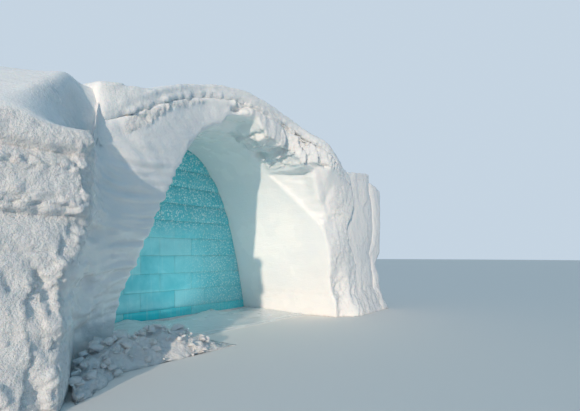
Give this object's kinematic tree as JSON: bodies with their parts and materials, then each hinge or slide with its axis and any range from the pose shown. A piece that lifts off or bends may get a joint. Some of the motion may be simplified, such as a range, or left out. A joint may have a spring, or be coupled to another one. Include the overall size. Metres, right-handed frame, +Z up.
{
  "type": "snow igloo with vaulted portal",
  "caption": "Igloo of packed snow with a catenary vaulted recess closed by a wall of ice blocks, a thick left pier, cracked right slabs and a vaulted hall behind.",
  "frame": {"origin": "on the floor, at the middle of the plan's box, on the vault's axis", "axes": "+X along the front to the right as seen from outside, +Y into the building, +Z up"},
  "size_m": [10.5, 8.45, 4.93],
  "materials": {
    "packed_snow": "smooth packed snow, faintly wind-rippled",
    "rough_snow": "coarse broken snow with lift joints",
    "drift_snow": "soft wind-blown snow",
    "clear_ice": "pale turquoise ice, frosted in its upper courses",
    "dark_ice": "darker teal ice"
  },
  "bodies": {
    "root": {"pier_lift_1": "rough_snow", "pier_lift_2": "rough_snow", "pier_lift_3": "rough_snow", "pier_lift_4": "rough_snow", "pier_top_lift": "rough_snow", "pier_drift": "drift_snow", "left_leg_lower": "packed_snow", "left_leg_upper": "packed_snow", "right_leg_lower": "packed_snow", "right_leg_upper": "packed_snow", "left_haunch": "packed_snow", "crown": "packed_snow", "right_haunch": "packed_snow", "cap_left": "drift_snow", "cap_crown": "drift_snow", "cap_right": "drift_snow", "slab_inner": "rough_snow", "slab_outer": "rough_snow", "ice_footing": "dark_ice", "ice_course_1": "clear_ice", "ice_course_2": "clear_ice", "ice_course_3": "clear_ice", "ice_course_4": "clear_ice", "ice_course_5": "clear_ice", "ice_course_6": "clear_ice", "ice_course_7": "clear_ice", "ice_course_8": "clear_ice", "ice_course_9": "clear_ice", "snow_sill": "drift_snow", "rubble_bank": "rough_snow", "hall_wall_left_1": "packed_snow", "hall_wall_right_1": "packed_snow", "hall_roof_left_1": "packed_snow", "hall_roof_right_1": "packed_snow", "hall_wall_left_2": "packed_snow", "hall_wall_right_2": "packed_snow", "hall_roof_left_2": "packed_snow", "hall_roof_right_2": "packed_snow", "rear_wall_left": "packed_snow", "rear_wall_right": "packed_snow", "rear_wall_head": "packed_snow"}
  },
  "joints": []
}
